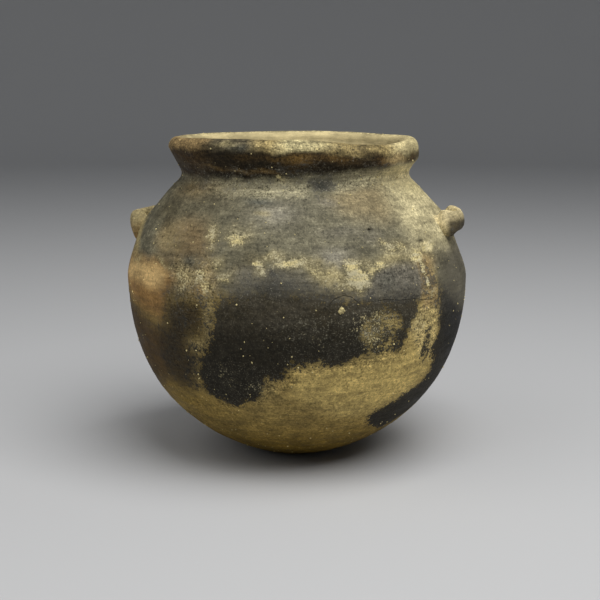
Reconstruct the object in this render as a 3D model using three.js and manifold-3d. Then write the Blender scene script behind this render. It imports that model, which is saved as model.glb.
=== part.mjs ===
// A small hand-built cooking jar of fired clay: a pinched base bowl, a wall of lapped coils,
// a neck coil, an everted rim band and two pierced lug handles luted to the shoulder.
// Millimetres, +Z up. The origin is the centre of the flat worn under the base, +X runs through
// the right lug, and the left lug is on -X.
import * as THREE from "three";
import { mergeVertices } from "three/addons/utils/BufferGeometryUtils.js";
import Module from "manifold-3d";

// Outside of the jar
const FOOT_RADIUS = 14; // flat that the jar stands on
const BELLY_RADIUS = 70;
const BELLY_HEIGHT = 75; // of the widest circle
const SHOULDER_RISE = 40.5; // from the widest circle up to the neck
const NECK_RADIUS = 46; // of the narrowest circle
const NECK_FILLET = 4; // about the radius of the hollow between shoulder and rim
const RIM_RISE = 11.5; // from the neck up to the lip's outer edge
const RIM_FLARE = 5; // how far that edge reaches out past the neck
const LIP_CROWN = 4; // how far the rounded lip stands above it

// Curve of the wall, as tangent lengths and angles
const FOOT_RISE_ANGLE = 17; // degrees above level where the wall leaves the foot
const FOOT_TANGENT = 33;
const BELLY_TANGENT_DOWN = 43;
const BELLY_TANGENT_UP = 7;
const SHOULDER_ANGLE = 41; // degrees above level where the shoulder meets the neck
const SHOULDER_TANGENT = 20;

// Clay and how it is put together
const WALL = 6;
const BASE_WALL = 8;
const BASE_BOWL_TOP = 28; // height of the first joint
const NECK_COIL_START = 6.5; // how far below the neck its coil begins
const RIM_BAND_START = 1.5; // how far above the neck the rim's band begins
const WALL_COILS = 6; // coils between the base bowl and the neck coil
const LAP_HEIGHT = 2; // how far each coil laps down inside the one below
const LAP_CLEARANCE = 0.3;

// Lug handles
const LUG_THICKNESS = 3.5;
const LUG_SPAN = 21; // between the middles of its two legs
const BAR_HEIGHT = 7.4; // of the strap where it stands off the wall
const BAR_LENGTH = 12;
const BAR_BOW = 1; // how far the bar's ends fall back from its middle
const STRING_HOLE = 4.6; // clear drop between the bar's middle and the wall
const LEG_HEIGHT = 13; // of the strap where its legs meet the wall
const LEG_DROP = 1; // how far the legs' ends sit below the bar
const RIGHT_LUG_RISE = 24; // from the widest circle up to the middle of each bar
const LEFT_LUG_RISE = 21;
const ROOT_PAD_WIDTH = 10; // clay pressed round each leg where it meets the wall
const ROOT_PAD_HEIGHT = 16;
const ROOT_PAD_THICKNESS = 2.2;
const LEG_SUNK = 3; // how far a leg is drawn past the wall before it is cut to it
const LUTING_GAP = 0.3; // slip line between a lug and the wall

// Facets
const TURN_STEPS = 48;
const CURVE_SAMPLES = 240; // points read off each stretch of the wall's curve
const COIL_STEPS = 2;
const BASE_STEPS = 6;
const RIM_STEPS = 4;
const LIP_STEPS = 8;
const LUG_STEPS = 20;
const LUG_SECTION_STEPS = 7; // each half of the strap's oval
const PAD_STEPS = 16;
const SAME_POINT = 1e-4; // corners nearer than this are one corner

const NECK_HEIGHT = BELLY_HEIGHT + SHOULDER_RISE;
const LIP_RADIUS = NECK_RADIUS + RIM_FLARE;
const LIP_HEIGHT = NECK_HEIGHT + RIM_RISE;
const NECK_COIL_BOTTOM = NECK_HEIGHT - NECK_COIL_START;
const RIM_BAND_BOTTOM = NECK_HEIGHT + RIM_BAND_START;

const radians = THREE.MathUtils.degToRad;
const point = (r, z) => new THREE.Vector2(r, z);

// Profiles are (radius, height) pairs, from the foot upwards
function outerCurve() {
  const foot = point(FOOT_RADIUS, 0);
  const rise = radians(FOOT_RISE_ANGLE);
  const footTangent = point(FOOT_RADIUS + FOOT_TANGENT * Math.cos(rise), FOOT_TANGENT * Math.sin(rise));
  const belly = point(BELLY_RADIUS, BELLY_HEIGHT);
  const slope = radians(SHOULDER_ANGLE);
  const neck = point(NECK_RADIUS, NECK_HEIGHT);
  const neckTangent = point(
    NECK_RADIUS + SHOULDER_TANGENT * Math.cos(slope),
    NECK_HEIGHT - SHOULDER_TANGENT * Math.sin(slope),
  );
  const lip = point(LIP_RADIUS, LIP_HEIGHT);
  const lower = new THREE.CubicBezierCurve(
    foot,
    footTangent,
    point(BELLY_RADIUS, BELLY_HEIGHT - BELLY_TANGENT_DOWN),
    belly,
  );
  const upper = new THREE.CubicBezierCurve(
    belly,
    point(BELLY_RADIUS, BELLY_HEIGHT + BELLY_TANGENT_UP),
    neckTangent,
    neck,
  );
  const flareDirection = lip.clone().sub(neck).normalize();
  const shoulderDirection = neckTangent.clone().sub(neck).normalize();
  const halfCorner = Math.acos(shoulderDirection.dot(flareDirection)) / 2;
  const reach = NECK_FILLET / Math.tan(halfCorner);
  const shoulderPoints = upper
    .getPoints(CURVE_SAMPLES)
    .filter((p) => p.distanceTo(neck) > reach);
  const filletStart = shoulderPoints[shoulderPoints.length - 1];
  const fillet = new THREE.QuadraticBezierCurve(
    filletStart,
    neck,
    neck.clone().addScaledVector(flareDirection, reach),
  );
  const flare = new THREE.LineCurve(fillet.v2, lip);
  return [
    ...lower.getPoints(CURVE_SAMPLES),
    ...shoulderPoints.slice(1),
    ...fillet.getPoints(CURVE_SAMPLES).slice(1),
    ...flare.getPoints(CURVE_SAMPLES).slice(1),
  ];
}

// The curve moved inwards, square to itself, by a thickness for each height
function offsetCurve(curve, thicknessAt) {
  return curve.map((p, i) => {
    const before = curve[Math.max(i - 1, 0)];
    const after = curve[Math.min(i + 1, curve.length - 1)];
    const along = after.clone().sub(before).normalize();
    const t = thicknessAt(p.y);
    return point(p.x - along.y * t, p.y + along.x * t);
  });
}

function radiusReader(curve) {
  return (z) => {
    const i = Math.max(curve.findIndex((p) => p.y >= z), 1);
    const [a, b] = [curve[i - 1], curve[i]];
    return a.x + ((b.x - a.x) * (z - a.y)) / (b.y - a.y);
  };
}

function wallThickness(z) {
  return THREE.MathUtils.lerp(BASE_WALL, WALL, THREE.MathUtils.smoothstep(z, 0, BELLY_HEIGHT));
}

const OUTER = outerCurve();
const INNER = offsetCurve(OUTER, wallThickness);
const outerRadius = radiusReader(OUTER);
const innerRadius = radiusReader(INNER);
const middleRadius = (z) => (outerRadius(z) + innerRadius(z)) / 2;

function heights(from, to, steps) {
  return Array.from({ length: steps + 1 }, (_, i) => from + ((to - from) * i) / steps);
}

function outside(from, to, steps) {
  return heights(from, to, steps).map((z) => point(outerRadius(z), z));
}

function inside(from, to, steps) {
  return heights(from, to, steps).map((z) => point(innerRadius(z), z));
}

// A joint at height z: the lower piece keeps an outer lip, and the upper piece laps down inside it
function topJoint(z) {
  const r = middleRadius(z) + LAP_CLEARANCE / 2;
  return [point(r, z), point(r, z - LAP_HEIGHT)];
}

function bottomJoint(z) {
  const r = middleRadius(z) - LAP_CLEARANCE / 2;
  return [point(r, z - LAP_HEIGHT), point(r, z)];
}

function turned(profile) {
  return new THREE.LatheGeometry(profile, TURN_STEPS).rotateX(Math.PI / 2);
}

function baseBowl() {
  const floor = INNER[0].y;
  return turned([
    point(0, 0),
    ...outside(0, BASE_BOWL_TOP, BASE_STEPS),
    ...topJoint(BASE_BOWL_TOP),
    ...inside(BASE_BOWL_TOP - LAP_HEIGHT, floor, BASE_STEPS),
    point(0, floor),
  ]);
}

function wallCoil(bottom, top) {
  const profile = [
    ...outside(bottom, top, COIL_STEPS),
    ...topJoint(top),
    ...inside(top - LAP_HEIGHT, bottom - LAP_HEIGHT, COIL_STEPS),
    ...bottomJoint(bottom),
  ];
  return turned([...profile, profile[0]]);
}

function lipArc() {
  const inner = innerRadius(LIP_HEIGHT);
  const centre = (LIP_RADIUS + inner) / 2;
  const half = (LIP_RADIUS - inner) / 2;
  return heights(0, Math.PI, LIP_STEPS)
    .slice(1, -1)
    .map((a) => point(centre + half * Math.cos(a), LIP_HEIGHT + LIP_CROWN * Math.sin(a)));
}

function rimBand() {
  const profile = [
    ...outside(RIM_BAND_BOTTOM, LIP_HEIGHT, RIM_STEPS),
    ...lipArc(),
    ...inside(LIP_HEIGHT, RIM_BAND_BOTTOM - LAP_HEIGHT, RIM_STEPS),
    ...bottomJoint(RIM_BAND_BOTTOM),
  ];
  return turned([...profile, profile[0]]);
}

const wasm = await Module();
wasm.setup();

function solid(geometry) {
  const bare = geometry.clone();
  bare.deleteAttribute("normal");
  bare.deleteAttribute("uv");
  const merged = mergeVertices(bare, SAME_POINT);
  return new wasm.Manifold(
    new wasm.Mesh({
      numProp: 3,
      vertProperties: merged.attributes.position.array,
      triVerts: new Uint32Array(merged.index.array),
    }),
  );
}

function geometryOf(manifold) {
  const mesh = manifold.getMesh();
  return new THREE.BufferGeometry()
    .setAttribute("position", new THREE.BufferAttribute(mesh.vertProperties, 3))
    .setIndex(new THREE.BufferAttribute(mesh.triVerts, 1));
}

// The jar's whole outside, grown by the slip line, which shapes the roots of the lugs
function jarEnvelope() {
  const joints = [...heights(BASE_BOWL_TOP, NECK_COIL_BOTTOM, WALL_COILS * COIL_STEPS), RIM_BAND_BOTTOM];
  const wall = joints.map((z) => point(outerRadius(z), z));
  const grown = offsetCurve(wall, () => -LUTING_GAP);
  return turned([point(0, grown[0].y), ...grown, point(0, grown[grown.length - 1].y)]);
}

// Strap of a lug: a bar that stands off the wall on two legs, taller and lower where they meet the wall.
// The bar is set out so that a string drops straight between it and the wall.
function strap(height) {
  const wall = outerRadius(height);
  const bar = outerRadius(height - BAR_HEIGHT / 2) + STRING_HOLE + LUG_THICKNESS / 2;
  const half = LUG_SPAN / 2;
  const leg = [
    new THREE.Vector3(wall - LEG_SUNK, half, 0),
    new THREE.Vector3(wall, half, 0),
    new THREE.Vector3(bar - BAR_BOW, BAR_LENGTH / 2, 0),
  ];
  const otherLeg = leg.map((p) => new THREE.Vector3(p.x, -p.y, p.z)).reverse();
  const middle = new THREE.Vector3(bar, 0, 0);
  const section = new THREE.Shape();
  section.absellipse(0, 0, BAR_HEIGHT / 2, LUG_THICKNESS / 2, 0, Math.PI * 2);
  const geometry = new THREE.ExtrudeGeometry(section, {
    steps: LUG_STEPS,
    curveSegments: LUG_SECTION_STEPS,
    extrudePath: new THREE.CatmullRomCurve3([...leg, middle, ...otherLeg]),
  });
  const position = geometry.attributes.position;
  for (let i = 0; i < position.count; i++) {
    const toRoot = 1 - THREE.MathUtils.smoothstep(position.getX(i), wall, bar);
    const stretch = THREE.MathUtils.lerp(1, LEG_HEIGHT / BAR_HEIGHT, toRoot);
    position.setZ(i, height + position.getZ(i) * stretch - LEG_DROP * toRoot);
  }
  return geometry;
}

// Low mound of clay on the wall round the foot of one leg, lying on the lean of the shoulder
function rootPad(height, side) {
  const middle = height - LEG_DROP;
  const reach = ROOT_PAD_HEIGHT / 2;
  const lean = Math.atan2(outerRadius(middle - reach) - outerRadius(middle + reach), 2 * reach);
  const outward = Math.sqrt(outerRadius(middle) ** 2 - (LUG_SPAN / 2) ** 2);
  return new THREE.SphereGeometry(0.5, PAD_STEPS, PAD_STEPS / 2)
    .scale(2 * ROOT_PAD_THICKNESS, ROOT_PAD_WIDTH, ROOT_PAD_HEIGHT)
    .rotateY(-lean)
    .translate(outward, (side * LUG_SPAN) / 2, middle);
}

function lug(height) {
  const pieces = [strap(height), rootPad(height, -1), rootPad(height, 1)];
  const joined = pieces.map(solid).reduce((a, b) => a.add(b));
  return geometryOf(joined.subtract(solid(jarEnvelope())));
}

const clay = (color, roughness) => new THREE.MeshStandardMaterial({ color, roughness, metalness: 0 });
const BUFF = clay(0x8f7b4b, 0.85);
const SOOTED = clay(0x2e2a27, 0.6);
const SMOKED = clay(0x6b6150, 0.75);
const RIM_BROWN = clay(0x4a3a20, 0.7);
const TAN = clay(0x9c8a60, 0.85);

const jar = new THREE.Group();

function add(name, geometry, material) {
  const mesh = new THREE.Mesh(geometry, material);
  mesh.name = name;
  jar.add(mesh);
  return mesh;
}

add("base_bowl", baseBowl(), BUFF);
const joints = heights(BASE_BOWL_TOP, NECK_COIL_BOTTOM, WALL_COILS);
joints.slice(1).forEach((top, i) => {
  const material = joints[i] < BELLY_HEIGHT ? SOOTED : SMOKED;
  add(`wall_coil_${i + 1}`, wallCoil(joints[i], top), material);
});
add("neck_coil", wallCoil(NECK_COIL_BOTTOM, RIM_BAND_BOTTOM), SMOKED);
add("rim_band", rimBand(), RIM_BROWN);
add("right_lug", lug(BELLY_HEIGHT + RIGHT_LUG_RISE), TAN);
add("left_lug", lug(BELLY_HEIGHT + LEFT_LUG_RISE), TAN).rotation.z = Math.PI;

export default jar;
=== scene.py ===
import bpy
import numpy as np
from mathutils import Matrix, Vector


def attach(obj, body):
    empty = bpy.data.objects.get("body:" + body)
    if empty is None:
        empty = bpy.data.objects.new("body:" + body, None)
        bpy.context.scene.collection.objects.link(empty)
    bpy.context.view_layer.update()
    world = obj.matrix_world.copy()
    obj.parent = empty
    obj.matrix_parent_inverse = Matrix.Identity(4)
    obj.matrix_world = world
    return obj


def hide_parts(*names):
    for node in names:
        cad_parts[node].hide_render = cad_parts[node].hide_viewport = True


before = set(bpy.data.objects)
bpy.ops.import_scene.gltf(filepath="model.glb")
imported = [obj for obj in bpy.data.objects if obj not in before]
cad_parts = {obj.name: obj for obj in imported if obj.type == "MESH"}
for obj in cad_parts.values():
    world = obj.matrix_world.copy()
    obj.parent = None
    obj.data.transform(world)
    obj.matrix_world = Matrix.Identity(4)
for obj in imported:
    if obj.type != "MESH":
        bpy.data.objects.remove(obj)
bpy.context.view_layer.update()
scene = bpy.context.scene

MM = 0.001
FULL_TURN = 360

# Outside of the jar, as its solids have it
FOOT_RADIUS = 14
BELLY_RADIUS = 70
BELLY_HEIGHT = 75
NECK_RADIUS = 46
NECK_HEIGHT = 115.5
NECK_FILLET = 4
LIP_RADIUS = 51
LIP_HEIGHT = 127
LIP_CROWN = 4
FOOT_RISE_ANGLE = 17
FOOT_TANGENT = 33
BELLY_TANGENT_DOWN = 43
BELLY_TANGENT_UP = 7
SHOULDER_ANGLE = 41
SHOULDER_TANGENT = 20

# Thickness of the clay and the heights of the joints between its coils
WALL = 6
BASE_WALL = 8
COIL_JOINTS = (28, 41.5, 55, 68.5, 82, 95.5, 109, 117)
LAP_HEIGHT = 2
LAP_CLEARANCE = 0.3

# Fineness of the meshes
COLUMNS = 576
OUTSIDE_ROW = 0.8
INSIDE_ROW = 2.0
FOOT_ROW = 1.4
LIP_ROWS = 14
LIP_CREST = 112
CURVE_SAMPLES = 240
WELD = 0.002


def direction(degrees):
    """Unit vector of an angle from level."""
    return np.array((np.cos(np.radians(degrees)), np.sin(np.radians(degrees))))


def bezier(corners):
    """Points of the Bezier curve with these corners."""
    t = np.linspace(0, 1, CURVE_SAMPLES)[:, None]
    layer = [np.repeat([corner], CURVE_SAMPLES, axis=0).astype(float) for corner in corners]
    while len(layer) > 1:
        layer = [a + (b - a) * t for a, b in zip(layer, layer[1:])]
    return layer[0]


def outside_curve():
    """Radius and height of the wall's outside, from the foot up to the lip's outer edge."""
    foot = np.array((FOOT_RADIUS, 0.0))
    belly = np.array((BELLY_RADIUS, BELLY_HEIGHT))
    neck = np.array((NECK_RADIUS, NECK_HEIGHT))
    lip = np.array((LIP_RADIUS, LIP_HEIGHT))
    shoulder_way = direction(SHOULDER_ANGLE) * (1, -1)
    flare_way = (lip - neck) / np.linalg.norm(lip - neck)
    lower = bezier((
        foot,
        foot + FOOT_TANGENT * direction(FOOT_RISE_ANGLE),
        belly - (0, BELLY_TANGENT_DOWN),
        belly,
    ))
    upper = bezier((belly, belly + (0, BELLY_TANGENT_UP), neck + SHOULDER_TANGENT * shoulder_way, neck))
    reach = NECK_FILLET / np.tan(np.arccos(shoulder_way @ flare_way) / 2)
    upper = upper[np.linalg.norm(upper - neck, axis=1) > reach]
    fillet = bezier((upper[-1], neck, neck + reach * flare_way))
    flare = bezier((fillet[-1], lip))
    return np.vstack((lower, upper[1:], fillet[1:], flare[1:]))


def square_out(curve):
    """Unit vectors square to a curve that runs up the wall, pointing away from the clay."""
    way = np.gradient(curve, axis=0)
    way /= np.linalg.norm(way, axis=1)[:, None]
    return np.column_stack((way[:, 1], -way[:, 0]))


def ease(x, low, high):
    """0 below low and 1 above high, with a smooth step between them."""
    t = np.clip((x - low) / (high - low), 0, 1)
    return t * t * (3 - 2 * t)


def fade(x, low, high):
    """1 below low and 0 above high, with a smooth step between them."""
    return ease(-x, -high, -low)


OUTSIDE = outside_curve()
THICKNESS = BASE_WALL + (WALL - BASE_WALL) * ease(OUTSIDE[:, 1], 0, BELLY_HEIGHT)
INSIDE = OUTSIDE - square_out(OUTSIDE) * THICKNESS[:, None]
FLOOR = INSIDE[0, 1]


def along(curve):
    """Distance along a curve to each of its points."""
    return np.append(0, np.cumsum(np.linalg.norm(np.diff(curve, axis=0), axis=1)))


def climb(height):
    """Distance up the outside of the wall from the edge of the foot to a height."""
    return np.interp(height, OUTSIDE[:, 1], along(OUTSIDE)) + np.maximum(height - LIP_HEIGHT, 0)


def outer_radius(height):
    return np.interp(height, OUTSIDE[:, 1], OUTSIDE[:, 0])


def inner_radius(height):
    return np.interp(height, INSIDE[:, 1], INSIDE[:, 0])


# One row of a section is radius, height, the way out of the clay there, and the side it is on
OUTER_SKIN = 1
INNER_SKIN = -1
HIDDEN = 0


def skin(curve, side, low, high, spacing):
    """Rows up one side of the wall between two heights."""
    distance = along(curve)
    start, end = np.interp((low, high), curve[:, 1], distance)
    steps = max(2, round((end - start) / spacing))
    stops = np.linspace(start, end, steps + 1)
    outward = square_out(curve) * side
    columns = [np.interp(stops, distance, values) for values in (*curve.T, *outward.T)]
    return np.column_stack((*columns, np.full(len(stops), side)))


def hidden(points):
    return [(radius, height, 0, 0, HIDDEN) for radius, height in points]


def lap(height, clearance):
    """The two corners of a lapped joint, half way through the wall."""
    radius = (outer_radius(height) + inner_radius(height)) / 2 + clearance
    return [(radius, height), (radius, height - LAP_HEIGHT)]


def coil_section(low, high):
    """Section of one coil, up its outside, over its upper joint, down its inside and back."""
    return np.vstack((
        skin(OUTSIDE, OUTER_SKIN, low, high, OUTSIDE_ROW),
        hidden(lap(high, LAP_CLEARANCE / 2)),
        skin(INSIDE, INNER_SKIN, low - LAP_HEIGHT, high - LAP_HEIGHT, INSIDE_ROW)[::-1],
        hidden(lap(low, -LAP_CLEARANCE / 2)[::-1]),
    ))


def base_section(high):
    """Section of the base bowl, from the middle of its foot round to the middle of its floor."""
    foot = np.arange(0, FOOT_RADIUS, FOOT_ROW)
    floor = np.arange(0, INSIDE[0, 0], INSIDE_ROW)[::-1]
    return np.vstack((
        [(radius, 0, 0, 0, OUTER_SKIN) for radius in foot],
        skin(OUTSIDE, OUTER_SKIN, 0, high, OUTSIDE_ROW),
        hidden(lap(high, LAP_CLEARANCE / 2)),
        skin(INSIDE, INNER_SKIN, FLOOR, high - LAP_HEIGHT, INSIDE_ROW)[::-1],
        [(radius, FLOOR, 0, 0, INNER_SKIN) for radius in floor],
    ))


def rim_section(low):
    """Section of the rim band, with its lip drawn as half an oval."""
    inner = inner_radius(LIP_HEIGHT)
    half = (LIP_RADIUS - inner) / 2
    lip = []
    for angle in np.linspace(0, 180, LIP_ROWS + 2)[1:-1]:
        across, up = direction(angle)
        side = OUTER_SKIN if angle < LIP_CREST else INNER_SKIN
        lip.append((inner + half * (1 + across), LIP_HEIGHT + LIP_CROWN * up, across, up, side))
    return np.vstack((
        skin(OUTSIDE, OUTER_SKIN, low, LIP_HEIGHT, OUTSIDE_ROW),
        lip,
        skin(INSIDE, INNER_SKIN, low - LAP_HEIGHT, LIP_HEIGHT, OUTSIDE_ROW)[::-1],
        hidden(lap(low, -LAP_CLEARANCE / 2)[::-1]),
    ))


# Node trees, for shapes and for finishes
def place(tree, kind, feeds=None, output=0, **options):
    """Adds a node, sets its options, feeds its sockets, and gives one of its outputs."""
    made = tree.nodes.new(kind)
    for option, value in options.items():
        setattr(made, option, value)
    for socket, value in (feeds or {}).items():
        feed(tree, made.inputs[socket], value)
    return made.outputs[output]


def feed(tree, socket, value):
    """Gives a socket a value or another node's output."""
    if isinstance(value, bpy.types.NodeSocket):
        tree.links.new(value, socket)
    else:
        socket.default_value = value


def maths(tree, operation, *values):
    return place(tree, "ShaderNodeMath", dict(enumerate(values)), operation=operation)


def vector_maths(tree, operation, *values):
    return place(tree, "ShaderNodeVectorMath", dict(enumerate(values)), operation=operation)


def stretch(tree, vector, amount):
    """A vector times one number."""
    return place(tree, "ShaderNodeVectorMath", {"Vector": vector, "Scale": amount}, operation="SCALE")


def noise(tree, vector, size, detail=2.0, roughness=0.5, seed=0.0, output=0):
    """Noise whose features are about one size across, in the vector's own unit."""
    feeds = {
        "Vector": vector,
        "W": seed,
        "Scale": 1 / size if isinstance(size, (int, float)) else maths(tree, "DIVIDE", 1.0, size),
        "Detail": detail,
        "Roughness": roughness,
    }
    return place(tree, "ShaderNodeTexNoise", feeds, output, noise_dimensions="4D")


def swing(tree, factor, amount):
    """Turns noise from 0 to 1 into a swing from -amount to amount."""
    middled = maths(tree, "SUBTRACT", factor, 0.5)
    return maths(tree, "MULTIPLY", middled, maths(tree, "MULTIPLY", amount, 2.0))


def named(tree, name):
    return place(tree, "GeometryNodeInputNamedAttribute", {"Name": name}, data_type="FLOAT")


def facing(tree):
    return place(tree, "GeometryNodeInputNormal")


def position(tree):
    return place(tree, "GeometryNodeInputPosition")


def ball(tree, radius, steps):
    return place(tree, "GeometryNodeMeshIcoSphere", {"Radius": radius, "Subdivisions": steps})


def circle(tree, corners, radius):
    feeds = {"Resolution": corners, "Radius": radius}
    return place(tree, "GeometryNodeCurvePrimitiveCircle", feeds)


def swept(tree, path, section, others=None):
    """A section carried along a path that keeps it upright."""
    upright = place(tree, "GeometryNodeSetCurveNormal", {"Curve": path}, mode="Z_UP")
    feeds = {"Curve": upright, "Profile Curve": section, **(others or {})}
    return place(tree, "GeometryNodeCurveToMesh", feeds)


SOCKET_KINDS = {float: "NodeSocketFloat", int: "NodeSocketInt"}


def shape_tree(name, sizes):
    """An empty geometry tree with a mesh, a clay and its named sizes coming in."""
    tree = bpy.data.node_groups.new(name, "GeometryNodeTree")
    tree.interface.new_socket(name="Geometry", in_out="INPUT", socket_type="NodeSocketGeometry")
    tree.interface.new_socket(name="Geometry", in_out="OUTPUT", socket_type="NodeSocketGeometry")
    for size, value in sizes.items():
        kind = SOCKET_KINDS[type(value)]
        made = tree.interface.new_socket(name=size, in_out="INPUT", socket_type=kind)
        made.default_value = value
    tree.interface.new_socket(name="Clay", in_out="INPUT", socket_type="NodeSocketMaterial")
    return tree, tree.nodes.new("NodeGroupInput").outputs


def close_tree(tree, geometry, clay):
    """Ends a shape tree in plain geometry that wears its clay."""
    real = place(tree, "GeometryNodeRealizeInstances", {"Geometry": geometry})
    worn = place(tree, "GeometryNodeSetMaterial", {"Geometry": real, "Material": clay})
    feed(tree, tree.nodes.new("NodeGroupOutput").inputs["Geometry"], worn)
    return tree


def formed(name, blank, tree, clay):
    """Runs a shape tree on a blank mesh and keeps the result as one plain mesh object."""
    piece = bpy.data.objects.new(name, blank)
    scene.collection.objects.link(piece)
    modifier = piece.modifiers.new(tree.name, "NODES")
    modifier.node_group = tree
    for item in tree.interface.items_tree:
        if item.name == "Clay":
            modifier[item.identifier] = FINISHES[clay]
    ready = piece.evaluated_get(bpy.context.evaluated_depsgraph_get())
    mesh = bpy.data.meshes.new_from_object(ready)
    piece.modifiers.remove(modifier)
    piece.data = mesh
    return piece


def unevenness(lump_height, lump_size, wipe_height, wipe_size, wander_size):
    """Sizes of lumps, of level wiping strokes, and of the drift that edges of colour follow."""
    return {
        "Lump Height": lump_height,
        "Lump Size": lump_size,
        "Wipe Height": wipe_height,
        "Wipe Size": wipe_size,
        "Wander Size": wander_size,
        "Seed": 3.7,
    }


WIPE_FLATNESS = 5.0
WALL_UNEVENNESS = unevenness(0.45 * MM, 22 * MM, 0.12 * MM, 12 * MM, 7 * MM)
LUG_UNEVENNESS = unevenness(0.3 * MM, 7 * MM, 0.12 * MM, 3 * MM, 4 * MM)
# The stone is a ball of radius 1 until it is stretched to its sizes
STONE_UNEVENNESS = unevenness(0.9, 1.3, 0.1, 0.6, 1.0)


def uneven(tree, geometry, way, sizes):
    """Moves a surface in and out along a way, and keeps a drift for each point as wander."""
    here = position(tree)
    seed = sizes["Seed"]
    level = vector_maths(tree, "MULTIPLY", here, (1, 1, WIPE_FLATNESS))
    lumps = noise(tree, here, sizes["Lump Size"], detail=3.0, seed=seed)
    wipes = noise(tree, level, sizes["Wipe Size"], seed=seed)
    lumps = swing(tree, lumps, sizes["Lump Height"])
    wipes = swing(tree, wipes, sizes["Wipe Height"])
    push = stretch(tree, way, maths(tree, "ADD", lumps, wipes))
    moved = place(tree, "GeometryNodeSetPosition", {"Geometry": geometry, "Offset": push})
    drift = noise(tree, here, sizes["Wander Size"], seed=seed, output=1)
    wander = vector_maths(tree, "SUBTRACT", drift, (0.5, 0.5, 0.5))
    feeds = {"Geometry": moved, "Name": "wander", "Value": wander}
    return place(tree, "GeometryNodeStoreNamedAttribute", feeds, data_type="FLOAT_VECTOR")


def turning_tree():
    """Turns a section of the wall round the jar's axis and leaves it uneven, as a hand does."""
    sizes = {"Columns": COLUMNS, "Turning Radius": BELLY_RADIUS * MM, **WALL_UNEVENNESS}
    tree, sizes = shape_tree("turned_clay", sizes)
    section = place(tree, "GeometryNodeMeshToCurve", {"Mesh": sizes["Geometry"]})
    ring = circle(tree, sizes["Columns"], sizes["Turning Radius"])
    feeds = {"Geometry": swept(tree, ring, section), "Distance": WELD * MM}
    welded = place(tree, "GeometryNodeMergeByDistance", feeds)
    spoke = vector_maths(tree, "NORMALIZE", vector_maths(tree, "MULTIPLY", position(tree), (1, 1, 0)))
    level = stretch(tree, spoke, named(tree, "outward"))
    upward = place(tree, "ShaderNodeCombineXYZ", {"Z": named(tree, "upward")})
    way = vector_maths(tree, "ADD", level, upward)
    return close_tree(tree, uneven(tree, welded, way, sizes), sizes["Clay"])


# Points of a mesh and what is written on them
def put(mesh, name, values, kind="FLOAT"):
    """Writes one value or one colour for each point of a mesh."""
    layer = mesh.attributes.get(name) or mesh.attributes.new(name, kind, "POINT")
    field = "color" if kind == "FLOAT_COLOR" else "value"
    layer.data.foreach_set(field, np.ravel(values).astype(np.float32))


def read(mesh, name, width=1):
    layer = mesh.attributes[name]
    values = np.empty(len(layer.data) * width, np.float32)
    layer.data.foreach_get("vector" if width == 3 else "value", values)
    return values.reshape(-1, width).astype(float) if width > 1 else values.astype(float)


def places(mesh):
    """The points of a mesh, in millimetres."""
    values = np.empty(len(mesh.vertices) * 3, np.float32)
    mesh.vertices.foreach_get("co", values)
    return values.reshape(-1, 3).astype(float) / MM


def move_to(mesh, points):
    """Moves the points of a mesh to places in millimetres."""
    mesh.vertices.foreach_set("co", (points * MM).ravel().astype(np.float32))


FOOT_FADE = (0.0, 14.0)
SHARP_EDGE = 40


def turned(name, section, closed, tree, clay):
    """One ring or bowl of the wall, turned from its section, which is drawn from the top down."""
    rows = section[::-1]
    blank = bpy.data.meshes.new(name)
    count = len(rows)
    points = [((row[0] - BELLY_RADIUS) * MM, -row[1] * MM, 0) for row in rows]
    edges = [(i, (i + 1) % count) for i in range(count if closed else count - 1)]
    blank.from_pydata(points, edges, [])
    foot_fade = ease(rows[:, 1], *FOOT_FADE)
    put(blank, "outward", rows[:, 2] * foot_fade)
    put(blank, "upward", rows[:, 3] * foot_fade)
    put(blank, "side", rows[:, 4])
    return formed(name, blank, tree, clay)


def around(points):
    """Angle of each point round the jar, from the front towards the right lug."""
    return np.degrees(np.arctan2(points[:, 0], -points[:, 1]))


def standing(angle, radius, height):
    """A place at an angle round the jar, in metres."""
    turn = np.radians(angle)
    return radius * np.sin(turn) * MM, -radius * np.cos(turn) * MM, height * MM


def turn_from(angle, middle):
    """How far an angle is from a middle one, from -180 to 180."""
    return (angle - middle + FULL_TURN / 2) % FULL_TURN - FULL_TURN / 2


# What the maker's hands and later wear did to the round shape. The wall leans towards one side
# and the edge of the rim is rolled outwards, by (height, amount) corners
LEAN_ANGLE = 105
LEAN = ((0, 0.0), (35, 0.3), (68, 0.5), (90, 0.0), (117, -0.3), (127, -1.0))
ROLL_MIDDLE = 95
ROLL_SPREAD = (50, 150)
ROLL = ((117.5, 0.0), (120.5, 0.7), (122.5, 1.6), (124.5, 1.1), (127, 0.0))
# The lip waves, by count, angle of the start and height, and rises and dips, by (angle, amount)
RIM_WAVES = ((3, 50, 0.2), (5, 10, 0.12))
RIM_RISES = (
    (-70, 0.0), (-40, 0.3), (-10, 0.9), (15, 1.0), (30, 0.2), (45, -1.3), (66, -1.9), (85, -1.0),
    (105, -0.3), (130, 0.0),
)
RIM_SOFTNESS = 6
# Clay is pressed up round the legs of the lugs, which stand at (angle, height)
LUG_ROOTS = ((90, 98), (-90, 95))
LUG_LEG_TURN = 12
MOUND_HEIGHT = 1.6
MOUND_REACH = 8.0
# Dents: angle, height, reach and depth
DENTS = ((66, 91.6, 3.4, -0.6), (42, 98.9, 0.9, -0.8))


def smooth_round(table, angle, softness):
    """Reads a table of values by angle round the jar, with its corners rounded off."""
    turns = np.arange(-FULL_TURN, FULL_TURN)
    values = np.interp(turn_from(turns, 0), *zip(*table))
    weights = np.exp(-((np.arange(-3 * softness, 3 * softness + 1) / softness) ** 2))
    return np.interp(angle, turns, np.convolve(values, weights / weights.sum(), "same"))


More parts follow.
